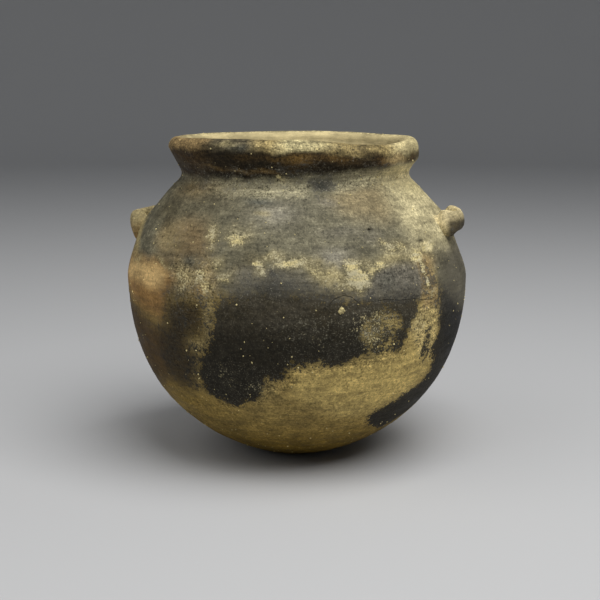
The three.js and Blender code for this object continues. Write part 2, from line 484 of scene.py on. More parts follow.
def gap_to(angle, height, spot_angle, spot_height):
    """Distance along the wall from a spot to each point."""
    level = np.radians(turn_from(angle, spot_angle)) * outer_radius(spot_height)
    return np.hypot(level, climb(height) - climb(spot_height))


def hand_worked(mesh):
    """Leans, rolls, presses and dents the round shape of one ring."""
    points = places(mesh)
    outer = read(mesh, "side") > 0
    angle = around(points)
    height = points[:, 2].copy()
    radius = np.hypot(points[:, 0], points[:, 1])
    roll = np.interp(height, *zip(*ROLL))
    push = outer * roll * fade(np.abs(turn_from(angle, ROLL_MIDDLE)), *ROLL_SPREAD)
    for lug_angle, lug_height in LUG_ROOTS:
        for leg in (-LUG_LEG_TURN, LUG_LEG_TURN):
            gap = gap_to(angle, height, lug_angle + leg, lug_height)
            push += outer * MOUND_HEIGHT * np.exp(-((gap / MOUND_REACH) ** 2))
    for spot_angle, spot_height, reach, depth in DENTS:
        gap = gap_to(angle, height, spot_angle, spot_height)
        push += outer * depth * fade(gap, reach / 2, reach)
    spoke = points[:, :2] / np.maximum(radius, WELD)[:, None]
    points[:, :2] += spoke * push[:, None]
    lean = np.interp(height, *zip(*LEAN))
    points[:, 0] += lean * np.sin(np.radians(LEAN_ANGLE))
    points[:, 1] -= lean * np.cos(np.radians(LEAN_ANGLE))
    wave = sum(rise * np.sin(np.radians(count * (angle - start))) for count, start, rise in RIM_WAVES)
    wave += smooth_round(RIM_RISES, angle, RIM_SOFTNESS)
    points[:, 2] += wave * ease(height, NECK_HEIGHT, LIP_HEIGHT)
    move_to(mesh, points)
    put(mesh, "angle", angle)
    put(mesh, "height", height)
    mesh.shade_smooth()
    mesh.set_sharp_from_angle(angle=np.radians(SHARP_EDGE))
    mesh.update()


# Colours, as they look in daylight
def daylight(red, green, blue):
    """A colour given from 0 to 255, as the amounts of light that a finish works in."""
    seen = np.array((red, green, blue)) / 255
    return np.where(seen <= 0.04045, seen / 12.92, ((seen + 0.055) / 1.055) ** 2.4)


BUFF = daylight(150, 129, 76)
# Olive clay of the low base, darkened towards the foot as painted shade
SHADED_OLIVE_BUFF = daylight(114, 92, 34)
LIT_BUFF = daylight(196, 172, 106)
WORN_BUFF = daylight(166, 152, 108)
GREY_HAZE = daylight(108, 103, 83)
DARK_HAZE = daylight(84, 77, 56)
BROWN_HAZE = daylight(132, 112, 78)
TAWNY_HAZE = daylight(132, 118, 86)
# Painted sheen: the bluish-grey gleam of the burnished clay, laid in as colour
PAINTED_SHEEN_GREY = daylight(134, 129, 115)
THIN_GREY = daylight(106, 101, 88)
SLATE = daylight(78, 79, 70)
# Painted light: a pale grey that lightens the neck in the shade under the rim
NECK_PAINTED_LIGHT_GREY = daylight(166, 158, 126)
NECK_BROWN = daylight(112, 95, 62)
EDGE_GREY = daylight(98, 93, 78)
PALE_SHOULDER = daylight(177, 166, 128)
BLUSH = daylight(158, 122, 72)
HOT_BLUSH = daylight(218, 184, 124)
SCORCHED = daylight(74, 56, 32)
SMOKED_BROWN = daylight(66, 55, 35)
SIDE_TAN = daylight(156, 140, 96)
OCHRE = daylight(166, 144, 98)
STREAK_TAN = daylight(146, 130, 88)
COLUMN_TAN = daylight(202, 180, 120)
COLUMN_ORANGE = daylight(188, 160, 108)
CREAM = daylight(206, 190, 136)
CHALK = daylight(190, 183, 155)
SPALL_CREAM = daylight(232, 216, 164)
SOOT = daylight(32, 31, 28)
ASH = daylight(120, 116, 100)
# Painted shade: black for the inside of a pit and for the shadow under the upper-left edge of the spall
PAINTED_SHADE_BLACK = daylight(16, 15, 12)
# Colours under the lip: soot, and also painted shade under the lip's overhang
RIM_BLACK = daylight(42, 34, 20)
RIM_BROWN = daylight(62, 47, 26)
RIM_TAN = daylight(140, 122, 84)
LIP_BROWN = daylight(136, 114, 76)
LIP_GREY = daylight(88, 80, 60)
LIP_OCHRE = daylight(154, 136, 90)
LIP_CREAM = daylight(190, 177, 130)
LIP_TAN = daylight(180, 166, 122)
LIP_OLIVE = daylight(84, 74, 48)
RIM_GOLD = daylight(112, 86, 42)
INSIDE_BUFF = daylight(196, 180, 134)
INSIDE_SMOKE = daylight(120, 104, 78)
# Lug colours: the lighter tops and darker lower parts are painted light and shade, and the darkest is
# painted shade on the right lug's outer end
LUG_CREAM = daylight(200, 184, 140)
LUG_TAN = daylight(164, 149, 108)
LUG_ORANGE = daylight(146, 118, 72)
LUG_SHADE_DARK = daylight(52, 45, 33)

# Outlines on the wall are (angle, height) corners
BELLY_SOOT = (
    (-10, 75), (-6, 77), (1, 80), (4, 84), (8, 86), (10, 83), (18, 80), (25, 77), (31, 75), (40, 76),
    (52, 76), (58, 72), (54, 66), (51, 62), (50, 53), (44, 54), (32, 51), (26, 50), (19, 52), (12, 48),
    (11, 44), (5, 44), (3, 40), (1, 36), (-5, 33), (-11, 33), (-17, 35), (-20, 38), (-19, 47), (-17, 55),
    (-13, 61), (-11.5, 68),
)
THIN_SOOT = ((34, 75), (38, 81), (42, 85), (47, 87), (53, 87), (59, 86), (60, 79), (57, 72), (46, 72))
LEFT_SOOT = (
    (-29, 73), (-19, 74), (-14, 74), (-14, 67), (-15, 60), (-20, 58), (-22, 55), (-18, 52), (-19, 44),
    (-25, 38), (-32, 38), (-36, 42), (-36, 50), (-34, 56), (-32, 61), (-31, 67),
)
RIGHT_SOOT = (
    (66, 76), (65, 74), (67, 66), (67, 51), (70, 42), (67, 37), (63, 33), (55, 31), (49, 29), (46, 25),
    (50, 21), (64, 16), (78, 20), (92, 30), (108, 42), (111, 52), (98, 60), (84, 65), (73, 70),
)
RIGHT_EDGE_GREY = (
    (71, 88), (67, 76), (68, 64), (76, 50), (90, 38), (116, 40), (122, 66), (112, 84), (90, 92),
    (80, 90),
)
COLUMN_TOP = ((58, 86), (63, 86), (64.5, 76), (66, 68), (58, 67), (58, 76))
COLUMN_FLECKS = ((60, 60), (64, 61), (64.5, 48), (61.5, 46))
COLUMN = ((56, 69), (66.5, 69), (67, 60), (66, 50), (60, 50), (55, 57), (52, 63))
BACK_SOOT = (
    (150, 60), (160, 74), (178, 80), (196, 82), (214, 76), (226, 78), (238, 66), (232, 52), (218, 40),
    (200, 34), (184, 40), (168, 36), (156, 46),
)
SPECKLED = ((36, 66), (41, 69), (46, 67), (49, 64), (48, 60), (49, 55), (46, 52), (39, 53), (36, 60))
TAN_STREAK = (
    (-14.6, 80), (-11, 80), (-11, 66), (-12.2, 59), (-17, 53.4), (-22, 53), (-21.5, 57.5), (-15.6, 58),
    (-14.8, 66),
)
LOW_STREAK = ((-20.8, 53), (-18.4, 53), (-20.8, 39), (-24, 38))
BLUSH_OUTLINE = (
    (-92, 76), (-76, 83), (-61, 84), (-42, 85), (-32, 85), (-27, 80), (-29, 74), (-31, 68), (-34, 64),
    (-44, 66), (-57, 70), (-76, 74),
)
HOT_BLUSH_OUTLINE = (
    (-64, 82), (-45, 84), (-36, 84), (-31, 82), (-31, 77), (-36, 75), (-44, 76), (-64, 76),
)
SCORCHED_OUTLINE = (
    (-84, 72), (-64, 70), (-50, 66), (-40, 63), (-30, 60), (-26, 48), (-28, 40), (-44, 33), (-62, 28),
    (-80, 40),
)
SIDE_TAN_OUTLINE = (
    (-110, 84), (-100, 96), (-84, 100), (-70, 97), (-60, 90), (-54, 85), (-58, 80), (-90, 76),
)
PALE_SHOULDER_OUTLINE = (
    (62, 119), (72, 122), (104, 122), (118, 114), (116, 100), (105, 92), (92, 86), (80, 84), (70, 90),
    (60, 95), (57, 103), (59, 112),
)
OCHRE_OUTLINE = (
    (-28, 88), (-19, 88), (-13, 88), (-10, 82), (-10, 76), (-17, 74), (-22, 74), (-27, 76), (-29, 82),
)
BROWN_OUTLINE = (
    (-41, 99), (-29, 102), (-20, 101), (-16, 95), (-16, 89), (-26, 87), (-37, 88), (-43, 94),
)
TAWNY_OUTLINE = ((30, 115), (48, 116), (60, 114), (60, 103), (50, 101), (36, 104), (28, 109))
HAZE_OVER_BELLY = (
    (-6, 86), (4, 88), (14, 86), (24, 82), (34, 79), (34, 73), (22, 76), (12, 78), (2, 78), (-6, 76),
)
NECK_OUTLINE = (
    (-60, 117), (-20, 118), (10, 119), (44, 121), (60, 119), (50, 114), (34, 112), (10, 111), (-30, 111),
    (-60, 111),
)
NECK_CHARCOAL = ((22.5, 117), (31, 117.6), (32, 115), (29, 112.6), (24, 111.6), (21, 114))
LIT_BASE = (
    (14, 47), (33, 51), (52, 54), (60, 83), (64, 82), (66, 60), (69, 42), (64, 34), (48, 27), (30, 28),
    (14, 38),
)
SPOTTED_LOW = ((-20, 38), (-17, 47), (-6, 52), (6, 48), (14, 52), (14, 44), (2, 35), (-12, 31))
SPOTTED_MIDDLE = ((8, 66), (20, 70), (44, 72), (54, 66), (50, 52), (26, 48), (12, 50))
SPALL = ((63, 93), (67, 93), (69, 91), (67, 89), (63, 90))

# Soot stains: outline, width of the ragged edge, and how thickly the middle is covered
STAINS = (
    (BELLY_SOOT, 2.1, 4.0),
    (LEFT_SOOT, 3.0, -0.3),
    (RIGHT_SOOT, 2.0, 4.0),
    (BACK_SOOT, 3.0, 3.5),
    (COLUMN_TOP, 0.6, -0.1),
    (COLUMN, 1.5, -1.1),
    (COLUMN_FLECKS, 1.0, 0.0),
    (OCHRE_OUTLINE, 3.0, -0.85),
    (NECK_CHARCOAL, 1.2, 0.6),
)
# Places where the soot is worn thin again: outline, width of the edge, and the cover left inside
WORN_SOOT = (
    (SPECKLED, 2.0, 0.1),
    (TAN_STREAK, 1.2, 0.4),
)
# Pale worn spots: angle, height, half width, half height, and how thickly the middle is covered
PALE_SPOTS = (
    (13, 87.3, 7.0, 1.9, 1.0),
    (7, 90.3, 5.5, 2.2, 0.1),
    (3, 86.4, 2.6, 2.6, 0.6),
    (21, 86.2, 6.5, 2.4, 0.0),
    (-7, 83.5, 4.0, 3.2, 0.2),
    (-23, 80.0, 4.0, 5.0, -0.1),
    (-17, 82.0, 4.0, 4.0, 0.0),
    (-14, 78.5, 4.0, 2.6, 0.2),
    (-5, 96.5, 4.4, 3.6, 0.5),
    (-15, 96.2, 3.0, 4.6, 0.2),
    (-10, 88.0, 3.0, 2.0, -0.4),
    (34, 88.2, 3.6, 2.6, 0.8),
    (33, 82.6, 4.3, 4.4, 1.7),
    (41, 86.7, 6.2, 1.8, 1.0),
    (24, 84.5, 6.0, 4.0, -0.7),
    (27, 83.3, 3.0, 3.2, -0.5),
    (29, 78.6, 4.4, 2.2, -0.3),
    (50, 92.7, 6.4, 3.0, 0.6),
    (59, 88.3, 6.0, 2.2, 0.7),
    (66, 91.6, 4.2, 2.6, 0.9),
    (60, 83.5, 2.2, 3.0, 0.3),
    (61, 78.0, 2.0, 3.0, 0.2),
    (62.5, 73.0, 2.4, 2.6, 0.2),
    (57, 63.0, 5.0, 6.0, -0.2),
    (38, 62.0, 12.0, 9.0, -0.5),
    (20, 58.0, 12.0, 7.0, -1.4),
    (0, 41.0, 8.0, 5.0, -0.8),
    (-10, 47.0, 6.0, 8.0, -1.1),
    (9, 117.6, 3.4, 1.8, 0.1),
    (2, 105.0, 3.0, 1.6, -0.3),
    (-34, 85.6, 8.0, 1.6, -0.2),
    (-55, 83.0, 9.0, 1.4, -0.4),
    (205, 98.0, 8.0, 4.0, 0.3),
    (150, 90.0, 6.0, 3.0, 0.2),
    (240, 84.0, 9.0, 3.0, 0.3),
)
PALE_SLOPE = 1.5
PALE_HALO = 0.5
# Soft dabs of colour: angle, height, half width, half height, colour and strength
DABS = (
    (-45, 104, 14, 6.0, DARK_HAZE, 0.8),
    (-20, 106, 12, 4.0, DARK_HAZE, 0.35),
    (0, 109.4, 6, 1.6, SLATE, 0.9),
    # The bluish-grey dabs in this list are painted sheen
    (7, 105, 9, 5.0, PAINTED_SHEEN_GREY, 0.6),
    (28, 90, 6, 3.5, PAINTED_SHEEN_GREY, 0.8),
    (31, 98.7, 9, 2.6, THIN_GREY, 0.5),
    (43, 96, 5, 3.0, THIN_GREY, 0.5),
    (28, 108.5, 4, 2.0, PAINTED_SHEEN_GREY, 0.4),
    (-38, 112.6, 16, 5.0, NECK_BROWN, 0.9),
    (27, 114.8, 4.4, 3.4, SLATE, 0.9),
    (9, 117.6, 9, 1.6, SLATE, 0.3),
    (0, 88.4, 4, 4.0, DARK_HAZE, 0.6),
    (7, 87.6, 4, 1.4, SLATE, 0.8),
    (-22, 86.8, 4.2, 2.8, SLATE, 0.9),
    (-33, 92, 6, 3.0, WORN_BUFF, 0.3),
    (-15.6, 77.2, 2.6, 1.8, HOT_BLUSH, 0.8),
    # Painted shade: darker olive low on the left of the base
    (-30, 30, 22, 10.0, SHADED_OLIVE_BUFF, 0.6),
    # Painted light: pale dabs that lighten the right side of the neck in the hollow under the rim
    (91, 112, 18, 5.5, LIP_CREAM, 0.8),
    (80, 118.5, 16, 4.5, SPALL_CREAM, 1.0),
    (190, 104, 26, 5.0, DARK_HAZE, 0.5),
    (172, 28, 18, 9.0, SCORCHED, 0.35),
    (-128, 46, 14, 12.0, BROWN_HAZE, 0.5),
    (128, 40, 16, 9.0, LIT_BUFF, 0.5),
    (148, 84, 14, 4.0, WORN_BUFF, 0.4),
    (-150, 84, 16, 3.0, DARK_HAZE, 0.5),
    (160, 98, 14, 4.0, BROWN_HAZE, 0.6),
    # Painted sheen on the back
    (225, 92, 16, 4.0, PAINTED_SHEEN_GREY, 0.5),
    # Painted shade: black in the pit, and a shadow under the upper-left edge of the spall
    (42, 98.9, 0.9, 0.7, PAINTED_SHADE_BLACK, 1.0),
    (63.8, 94.0, 2.8, 1.0, PAINTED_SHADE_BLACK, 0.9),
    (48, 88.5, 9, 2.0, WORN_BUFF, 0.6),
    (58, 90.5, 6, 3.5, PALE_SHOULDER, 0.5),
    (62, 86.5, 5, 3.0, COLUMN_ORANGE, 0.8),
    (-36, 95, 8, 5.0, WORN_BUFF, 0.35),
    (44, 81, 4, 4.0, SLATE, 0.4),
    (-44, 67, 12, 5.0, SCORCHED, 0.45),
)
# Washes of colour laid down in order: outline, colour, width of the edge, strength, and flecks
WASHES = (
    (LIT_BASE, LIT_BUFF, 5, 0.9, 0.0),
    (BROWN_OUTLINE, BROWN_HAZE, 6, 0.9, 0.0),
    (TAWNY_OUTLINE, TAWNY_HAZE, 6, 0.8, 0.0),
    (SIDE_TAN_OUTLINE, SIDE_TAN, 4, 1.0, 0.0),
    (OCHRE_OUTLINE, OCHRE, 3, 0.7, 0.6),
    (PALE_SHOULDER_OUTLINE, PALE_SHOULDER, 8, 1.0, 0.0),
    (HAZE_OVER_BELLY, THIN_GREY, 3, 0.7, 0.1),
    (THIN_SOOT, THIN_GREY, 1.5, 1.0, 0.2),
    (RIGHT_EDGE_GREY, EDGE_GREY, 7, 1.0, -0.2),
    (COLUMN_TOP, COLUMN_ORANGE, 2, 0.9, 0.6),
    (COLUMN, COLUMN_TAN, 2, 0.8, 0.7),
    (SPECKLED, LIT_BUFF, 3, 1.0, 0.5),
    (SCORCHED_OUTLINE, SCORCHED, 8, 0.95, -0.1),
    (BLUSH_OUTLINE, BLUSH, 4, 1.0, -0.1),
    (LEFT_SOOT, SMOKED_BROWN, 6, 0.95, 0.3),
    (LOW_STREAK, STREAK_TAN, 1.5, 0.3, 0.2),
    (TAN_STREAK, STREAK_TAN, 1.5, 0.7, 0.4),
    (HOT_BLUSH_OUTLINE, HOT_BLUSH, 3, 0.9, 0.0),
    (SPALL, SPALL_CREAM, 0.7, 1.0, 0.2),
    # Painted light: the neck under the rim is washed paler grey
    (NECK_OUTLINE, NECK_PAINTED_LIGHT_GREY, 3, 0.85, 0.5),
)
# Places with more flecks only: outline, width of the edge, and flecks
FLECKED = ((SPOTTED_LOW, 3, 0.8), (SPOTTED_MIDDLE, 4, 0.8))
# Fine lines in the wall, by (angle, height) corners
LEVEL_LINE = ((40, 73.8), (50, 73.0), (62, 71.5))
ARC_CRACK = ((25, 74.2), (26.5, 75.6), (29, 76.2), (31.5, 75.6), (33.4, 74.0))
BASE_SCRATCH = ((-8, 18), (1, 15.5))
BACK_LINE = ((170, 71.0), (188, 69.0), (207, 69.8))
LINES = (LEVEL_LINE, ARC_CRACK, BASE_SCRATCH, BACK_LINE)
SCORE_WIDTH = (0.08, 0.34)
SCORE_SHADE = 0.3
SCORE_DEPTH = 0.25 * MM
FAR = 50.0
# Edges of soot are wider from these heights up
EDGE_GROWS = (68, 78)
EDGE_GROWTH = 1.3
# The grey haze starts at these heights, by angle
HAZE_FROM = (
    (-180, 79), (-160, 70), (-138, 66), (-118, 80), (-100, 77), (-70, 76), (62, 76), (82, 70), (100, 58),
    (118, 56), (138, 72), (160, 82), (180, 79),
)
HAZE_SOFTNESS = 8
HAZE_EDGE = (-4, 4)
# Painted shade: below these heights the base darkens to olive towards the foot
LOW_BASE_SHADE = (6, 36)
# How far edges stray: of washes, stains and dabs, of pale wear, of fine lines, and of the rim
WANDER = 3
TORN = 11
LINE_WANDER = 2.6
RIM_WANDER = (8, 5)
# Cover of soot or of pale wear where there is none
BARE = -4.0
# Softness of the ends of soot, low on the front, and what is added above and at the sides
CRISP = 0.4
HIGH_SOFTNESS = 0.7
SOFT_ABOVE = (70, 80)
SOFT_LEFT = (-28, -16)
SIDE_SOFTNESS = 1.2
SOFT_RIGHT = (68, 76)
SOFT_RIGHT_ABOVE = (50, 66)
CRISP_COLUMN = 0.8
CRISP_COLUMN_EDGE = (-2, 0)
# Inside, smoke and soot lie below these heights
SMOKED_BELOW = (84, 108)
SMOKE_WANDER = 30
FLOOR_SOOT = 3.5
FLOOR_SOOT_BELOW = (15, 40)
FLOOR_SOOT_WANDER = 60
INSIDE_FLECKS = 0.05
INSIDE_SOFTNESS = 1.5
BROWN_INSIDE = (154, 119, 18, 8)
BROWN_INSIDE_STRENGTH = 0.32

# Rim: bands of colour from the neck up over the lip, with the heights of their edges and their
# colours by angle. Beyond the first and the last angle nothing changes
# The dark band under the lip is partly soot and partly painted shade under the lip's overhang
NECK_TO_BLACK = (
    (-75, 117), (-48, 116.8), (-12, 116.8), (3, 117.4), (17, 118.6), (30, 119.4), (49, 120.8),
    (62, 121.8), (74, 123.2), (100, 122), (180, 119),
)
BLACK_TO_LIP = (
    (-180, 124), (-110, 125), (-60, 126), (-40, 126.6), (-12, 126.8), (3, 127), (15, 126.6), (26, 127.3),
    (40, 128.6), (56, 128.4), (68, 126.8), (80, 126.6), (92, 126.4), (110, 125), (180, 124),
)
BLACK_COLOURS = (
    (-34, RIM_BROWN), (-22, RIM_BLACK), (50, RIM_BLACK), (56, RIM_BROWN), (64, RIM_TAN), (69, RIM_TAN),
    (77, LIP_OLIVE), (92, LIP_OLIVE), (110, RIM_BROWN),
)
LIP_COLOURS = (
    (-100, LIP_TAN), (-62, LIP_BROWN), (-30, LIP_BROWN), (-22, LIP_GREY), (-6, LIP_GREY), (5, LIP_OCHRE),
    (12, LIP_CREAM), (24, LIP_CREAM), (36, LIP_OCHRE), (60, LIP_OCHRE), (70, LIP_TAN),
)
# Dabs of colour on the rim: angle, height, half width, half height, colour and strength
RIM_DABS = (
    (17, 123.2, 4.5, 2.4, RIM_GOLD, 0.9),
    (8, 124.5, 6.0, 1.0, RIM_GOLD, 0.4),
    (33, 124.4, 8.0, 1.6, RIM_GOLD, 0.6),
    (0, 119.6, 9.0, 0.8, RIM_GOLD, 0.7),
    (-34, 121.5, 12.0, 2.0, RIM_GOLD, 0.25),
    (-21, 120.4, 4.0, 0.8, RIM_GOLD, 0.5),
    (-6, 124.8, 4.0, 1.0, RIM_GOLD, 0.3),
    (-26, 120.8, 5.0, 0.5, LIP_BROWN, 0.7),
    (-10, 119.8, 8.0, 0.5, LIP_BROWN, 0.7),
    (5, 119.4, 6.0, 0.4, LIP_BROWN, 0.6),
    (38, 127.0, 9.0, 1.0, LIP_OCHRE, 0.6),
    (58, 124.6, 5.0, 1.4, RIM_GOLD, 0.3),
    (12, 130.8, 12.0, 0.5, RIM_BLACK, 0.5),
    (30, 130.6, 8.0, 0.7, RIM_BLACK, 0.6),
    (46, 130.2, 4.0, 0.9, RIM_BLACK, 0.7),
    (56, 130.0, 4.0, 0.8, RIM_BLACK, 0.6),
    (-24, 128.4, 5.0, 1.6, RIM_BLACK, 0.6),
    (-8, 128.4, 4.0, 1.4, SLATE, 0.7),
    (-15, 129.4, 4.0, 0.7, CREAM, 0.4),
    (82, 123.4, 6.0, 3.2, RIM_BROWN, 1.0),
    (98, 129.0, 12.0, 2.4, LIP_CREAM, 0.8),
)
RIM_SPREAD = 1.2
RIM_FADE = 1.4
RIM_FLECKS = 0.25
SMOOTH_FROM = (60, 74)
SMOOTH_TO = (130, 150)
# Ragged soot lies along the lower edge of the black, on both sides of it, round the front
NECK_SOOT_REACH = 3.0
NECK_SOOT_EDGE = 2.0
NECK_SOOT_MOST = -0.5
NECK_SOOT_MIDDLE = -10
NECK_SOOT_SPREAD = (50, 90)
NECK_SOOT_LOSS = 3.0


def laid_flat(corners, angle, height):
    """Corners and points laid out flat, as millimetres across and up the outside of the wall."""
    corners = np.array(corners, float)
    middle = corners[:, 0].mean()
    scale = np.radians(outer_radius(corners[:, 1].mean()))
    flat = np.column_stack(((corners[:, 0] - middle) * scale, climb(corners[:, 1])))
    return flat, turn_from(angle, middle) * scale, climb(height)


def from_stretch(start, end, across, up):
    """Distance from a straight stretch to each point, and the side of it that the point is on."""
    run, rise = end - start
    right = across - start[0]
    above = up - start[1]
    t = np.clip((right * run + above * rise) / (run * run + rise * rise), 0, 1)
    return np.hypot(right - t * run, above - t * rise), np.sign(run * above - rise * right)


def depth_in(outline, angle, height):
    """How far each point lies inside an outline on the wall, in millimetres, less than 0 outside."""
    corners, across, up = laid_flat(outline, angle, height)
    nearest = np.full(len(across), np.inf)
    inside = np.zeros(len(across), bool)
    for start, end in zip(corners, np.roll(corners, -1, axis=0)):
        nearest = np.minimum(nearest, from_stretch(start, end, across, up)[0])
        run, rise = end - start
        if rise:
            spans = (start[1] > up) != (end[1] > up)
            inside ^= spans & (across < start[0] + (up - start[1]) * run / rise)
    return np.where(inside, nearest, -nearest)


def scored_lines(angle, height):
    """Distance to the nearest fine line, below 0 on one side of it, in millimetres."""
    nearest = np.full(len(angle), FAR)
    for line in LINES:
        corners, across, up = laid_flat(line, angle, height)
        for start, end in zip(corners, corners[1:]):
            gap, side = from_stretch(start, end, across, up)
            nearest = np.where(gap < np.abs(nearest), gap * side, nearest)
    return nearest


def cover(outline, edge, most, angle, height):
    """Cover of a ragged patch: 0 at its outline, up to its most inside, below 0 outside."""
    spread = edge * (1 + EDGE_GROWTH * ease(height, *EDGE_GROWS))
    return np.minimum(depth_in(outline, angle, height) / spread, most)


def spot(angle, height, spot_angle, spot_height, half_width, half_height):
    """Square of the distance from the middle of a spot, in spans of its own size."""
    across = np.radians(turn_from(angle, spot_angle)) * outer_radius(spot_height) / half_width
    up = (climb(height) - climb(spot_height)) / half_height
    return across * across + up * up


def strayed(angle, height, wander, across, up):
    """Angles and heights that stray with the wander of each point, which leaves edges ragged."""
    return angle + wander[:, 0] * across, height + wander[:, 1] * up


def wash(tint, colour, weight):
    tint += (colour - tint) * weight[:, None]


def by_angle(table, angle):
    """Reads a table of colours by angle."""
    angles, colours = zip(*table)
    return np.column_stack([np.interp(angle, angles, shade) for shade in zip(*colours)])


def past(edge, angle, height):
    """How far each point lies above an edge of the rim's black."""
    return height - smooth_round(edge, angle, RIM_SOFTNESS)


def paint_rim(tint, angle, loose_angle, loose_height):
    """Paints the black under the lip, which is soot and painted shade, the gold in it and the lip
    itself, and gives its flecks.
    """
    black = ease(past(NECK_TO_BLACK, angle, loose_height), -RIM_FADE, RIM_FADE)
    lip = ease(past(BLACK_TO_LIP, angle, loose_height), -RIM_SPREAD, RIM_SPREAD)
    wash(tint, by_angle(BLACK_COLOURS, loose_angle), black)
    wash(tint, by_angle(LIP_COLOURS, loose_angle), lip)
    for *place_and_size, colour, strength in RIM_DABS:
        gap = spot(loose_angle, loose_height, *place_and_size)
        wash(tint, colour, strength * black * np.exp(-gap))
    smooth = ease(angle, *SMOOTH_FROM) * fade(angle, *SMOOTH_TO)
    return black * RIM_FLECKS * (1 - smooth)


def neck_soot(angle, loose_height):
    """Cover of the ragged soot that reaches down from the rim on the front and the left."""
    above = past(NECK_TO_BLACK, angle, loose_height)
    band = (NECK_SOOT_REACH - np.abs(above)) / NECK_SOOT_EDGE
    reach = fade(np.abs(turn_from(angle, NECK_SOOT_MIDDLE)), *NECK_SOOT_SPREAD)
    return np.minimum(band - NECK_SOOT_LOSS * (1 - reach), NECK_SOOT_MOST)


def softness(angle, height):
    """How gently soot ends: crisp on the belly, soft higher up and towards the sides."""
    left = fade(angle, *SOFT_LEFT)
    right = SIDE_SOFTNESS * ease(angle, *SOFT_RIGHT) * ease(height, *SOFT_RIGHT_ABOVE)
    column = CRISP_COLUMN * ease(depth_in(COLUMN_TOP, angle, height), *CRISP_COLUMN_EDGE)
    high = HIGH_SOFTNESS * ease(height, *SOFT_ABOVE) * (1 - column)
    return CRISP + high + left + right


# What plain clay has: covers of soot and pale wear, flecks, softness and distance to a fine line
PLAIN = {"soot": BARE, "pale": BARE, "flecks": 0.4, "softness": 1.0, "scored": FAR}


def paint(mesh, tint, covers):
    """Writes a tint and covers on a mesh. Covers that aren't given are those of plain clay."""
    put(mesh, "tint", np.column_stack((tint, np.ones(len(tint)))), "FLOAT_COLOR")
    for name, values in {**PLAIN, **covers}.items():
        put(mesh, name, np.broadcast_to(values, len(tint)))


def paint_outside(angle, height, wander):
    """Tint and covers of the outer skin."""
    loose = strayed(angle, height, wander, WANDER, WANDER)
    tint = np.tile(BUFF, (len(angle), 1))
    flecks = np.full(len(angle), PLAIN["flecks"])
    haze_edge = smooth_round(HAZE_FROM, angle, HAZE_SOFTNESS)
    # Painted shade: the low base is washed darker olive towards the foot
    wash(tint, SHADED_OLIVE_BUFF, fade(loose[1], *LOW_BASE_SHADE))
    wash(tint, GREY_HAZE, ease(loose[1] - haze_edge, *HAZE_EDGE))
    for outline, colour, edge, strength, fleck in WASHES:
        weight = ease(depth_in(outline, *loose), -edge, edge)
        wash(tint, colour, strength * weight)
        flecks += fleck * weight
    for outline, edge, fleck in FLECKED:
        flecks += fleck * ease(depth_in(outline, *loose), -edge, edge)
    for *place_and_size, colour, strength in DABS:
        wash(tint, colour, strength * np.exp(-spot(*loose, *place_and_size)))
    soot = neck_soot(angle, loose[1])
    for outline, edge, most in STAINS:
        soot = np.maximum(soot, cover(outline, edge, most, *loose))
    for outline, edge, least in WORN_SOOT:
        soot = np.minimum(soot, np.maximum(-depth_in(outline, *loose) / edge, least))
    torn = strayed(angle, height, wander, TORN, TORN)
    pale = np.full(len(angle), BARE)
    for *place_and_size, most in PALE_SPOTS:
        gap = spot(*torn, *place_and_size)
        pale = np.maximum(pale, most - PALE_SLOPE * gap)
        wash(tint, WORN_BUFF, PALE_HALO * np.exp(-gap))
    flecks += paint_rim(tint, angle, *strayed(angle, height, wander, *RIM_WANDER))
    lines = scored_lines(*strayed(angle, height, wander, 0, LINE_WANDER))
    return tint, {
        "soot": soot,
        "pale": pale,
        "flecks": flecks,
        "softness": softness(angle, height),
        "scored": lines,
    }


def paint_inside(angle, height, wander):
    """Tint and covers of the inner skin: buff at the neck, and smoked lower down."""
    tint = np.tile(INSIDE_BUFF, (len(angle), 1))
    wash(tint, INSIDE_SMOKE, fade(height - wander[:, 1] * SMOKE_WANDER, *SMOKED_BELOW))
    wash(tint, INSIDE_SMOKE, BROWN_INSIDE_STRENGTH * np.exp(-spot(angle, height, *BROWN_INSIDE)))
    low = fade(height - wander[:, 0] * FLOOR_SOOT_WANDER, *FLOOR_SOOT_BELOW)
    soot = BARE + FLOOR_SOOT * low
    return tint, {**PLAIN, "soot": soot, "flecks": INSIDE_FLECKS, "softness": INSIDE_SOFTNESS}


def painted(mesh):
    """Paints the outer and the inner skin of a piece of the wall."""
    inner = read(mesh, "side") < 0
    where = read(mesh, "angle"), read(mesh, "height"), read(mesh, "wander", 3)
    tint, covers = paint_outside(*where)
    inner_tint, inner_covers = paint_inside(*where)
    tint[inner] = inner_tint[inner]
    both = {name: np.where(inner, inner_covers[name], outside) for name, outside in covers.items()}
    paint(mesh, tint, both)


def attribute(tree, name, output="Fac"):
    return place(tree, "ShaderNodeAttribute", output=output, attribute_name=name)


def blend(tree, factor, under, over, kind="MIX"):
    feeds = {0: factor, 6: opaque(under), 7: opaque(over)}
    return place(tree, "ShaderNodeMix", feeds, 2, data_type="RGBA", blend_type=kind)


def opaque(value):
    """A colour with its opacity, or a socket as it is."""
    return value if isinstance(value, bpy.types.NodeSocket) else (*value, 1.0)


def ramp(tree, value, low, high, to_low=0.0, to_high=1.0):
    """Spreads a value smoothly from one range to another."""
    feeds = {"Value": value, "From Min": low, "From Max": high, "To Min": to_low, "To Max": to_high}
    return place(tree, "ShaderNodeMapRange", feeds, interpolation_type="SMOOTHSTEP")


def shaded(tree, under, factor, amount=1.0):
    """A colour made darker or lighter by a factor that swings round 1."""
    grey = place(tree, "ShaderNodeCombineColor", {0: factor, 1: factor, 2: factor})
    return blend(tree, amount, under, grey, "MULTIPLY")


